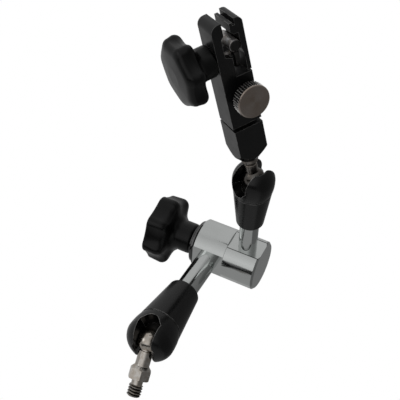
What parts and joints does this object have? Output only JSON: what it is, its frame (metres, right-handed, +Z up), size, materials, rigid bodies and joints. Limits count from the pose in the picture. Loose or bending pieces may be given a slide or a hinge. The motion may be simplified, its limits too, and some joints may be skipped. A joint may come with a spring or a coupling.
{
  "type": "articulating friction arm",
  "caption": "Articulating friction arm: threaded stud, two ball sockets, a knob-locked elbow, and a small swivelling screw clamp at the far end.",
  "frame": {"origin": "on the mounting stud's axis, where its thread meets the relief", "axes": "+Z up along the mounting stud, from the thread towards its ball; +X to the picture's right, +Y away from the viewer"},
  "size_m": [0.0729, 0.1309, 0.1632],
  "materials": {
    "stainless": "turned",
    "ball_steel": "ground",
    "anodised_sleeve": "black anodised, satin",
    "chrome": "polished",
    "inner_steel": "machined",
    "washer_steel": "bright",
    "knob_plastic": "moulded black",
    "neck_steel": "dark",
    "clamp_black": "black anodised",
    "pin_steel": "machined",
    "spring_rubber": "moulded",
    "thumb_steel": "turned face, knurled rim"
  },
  "bodies": {
    "stud": {"mount_stud": "stainless"},
    "stud_ball": {"lower_ball": "ball_steel"},
    "lower_socket": {"lower_socket_head": "anodised_sleeve", "lower_ball_seat": "inner_steel"},
    "lower_arm": {"lower_rod": "chrome", "lower_taper_sleeve": "anodised_sleeve", "lower_push_rod": "inner_steel", "elbow_left_half": "chrome"},
    "upper_arm": {"elbow_right_half": "chrome", "elbow_left_wedge": "inner_steel", "elbow_right_wedge": "inner_steel", "elbow_spring": "spring_rubber", "elbow_tie_bolt": "inner_steel", "elbow_washer": "washer_steel", "upper_rod": "chrome", "upper_taper_sleeve": "anodised_sleeve", "upper_push_rod": "inner_steel"},
    "elbow_lock_knob": {"elbow_knob": "knob_plastic"},
    "upper_socket": {"upper_socket_head": "anodised_sleeve", "upper_ball_seat": "inner_steel"},
    "clamp_ball": {"upper_ball": "ball_steel"},
    "neck": {"neck_stud": "neck_steel", "neck_block": "clamp_black", "swivel_spigot": "neck_steel"},
    "clamp": {"clamp_body": "clamp_black", "cross_pin": "pin_steel"},
    "jaw": {"hook_jaw": "clamp_black"},
    "jaw_pad": {"pressure_pad": "inner_steel"},
    "clamp_drive": {"clamp_screw": "pin_steel", "clamp_knob": "knob_plastic"},
    "swivel_lock": {"thumb_screw": "thumb_steel"}
  },
  "joints": [
    {"name": "stud_twist", "type": "hinge", "parent": "stud", "child": "stud_ball", "pos_m": [0, 0, 0.0198], "axis": [0, 0, 1], "continuous": true},
    {"name": "lower_tilt", "type": "hinge", "parent": "stud_ball", "child": "lower_socket", "pos_m": [0, 0, 0.0198], "axis": [-0.9295, 0.3688, 0], "range_deg": [-127.46, 32.54]},
    {"name": "lower_socket_spin", "type": "hinge", "parent": "lower_socket", "child": "lower_arm", "pos_m": [0, 0, 0.0198], "axis": [0.2717, 0.6849, 0.6761], "continuous": true},
    {"name": "elbow_fold", "type": "hinge", "parent": "lower_arm", "child": "upper_arm", "pos_m": [0.02621, 0.04341, 0.06454], "axis": [0.9501, -0.3028, -0.0751], "range_deg": [-235.83, 44.17]},
    {"name": "elbow_knob_turn", "type": "hinge", "parent": "upper_arm", "child": "elbow_lock_knob", "pos_m": [0.02621, 0.04341, 0.06454], "axis": [-0.9501, 0.3028, 0.0751], "range_deg": [-360, 30]},
    {"name": "upper_socket_spin", "type": "hinge", "parent": "upper_arm", "child": "upper_socket", "pos_m": [0.03419, 0.04087, 0.0639], "axis": [-0.1801, -0.7289, 0.6605], "continuous": true},
    {"name": "upper_tilt", "type": "hinge", "parent": "upper_socket", "child": "clamp_ball", "pos_m": [0.02393, -0.00068, 0.10155], "axis": [0.7193, -0.5556, -0.417], "range_deg": [-87.74, 72.26]},
    {"name": "clamp_stud_twist", "type": "hinge", "parent": "clamp_ball", "child": "neck", "pos_m": [0.02393, -0.00068, 0.10155], "axis": [-0.4098, -0.6466, 0.6434], "continuous": true},
    {"name": "clamp_swivel", "type": "hinge", "parent": "neck", "child": "clamp", "pos_m": [0.0111, -0.02092, 0.12169], "axis": [-0.4098, -0.6466, 0.6434], "continuous": true},
    {"name": "swivel_lock_turn", "type": "hinge", "parent": "clamp", "child": "swivel_lock", "pos_m": [0.00556, -0.03075, 0.13253], "axis": [0.5702, -0.7321, -0.3726], "range_deg": [-360, 20]},
    {"name": "clamp_knob_turn", "type": "hinge", "parent": "clamp", "child": "clamp_drive", "pos_m": [-0.00197, -0.04155, 0.14222], "axis": [0.712, 0.2142, 0.6687], "range_deg": [-360, 340]},
    {"name": "pad_travel", "type": "slide", "parent": "clamp", "child": "jaw_pad", "axis": [0.712, 0.2142, 0.6687], "range_m": [-0.0007, 0.00066]},
    {"name": "jaw_rock", "type": "hinge", "parent": "clamp", "child": "jaw", "pos_m": [-0.00254, -0.04418, 0.14651], "axis": [0.5702, -0.7321, -0.3726], "range_deg": [-8.55, 8.08]}
  ],
  "couplings": [
    {"joint": "pad_travel", "follows": "clamp_knob_turn", "m_per_rad": 0.00011141},
    {"joint": "jaw_rock", "follows": "clamp_knob_turn", "ratio": 0.023704}
  ]
}
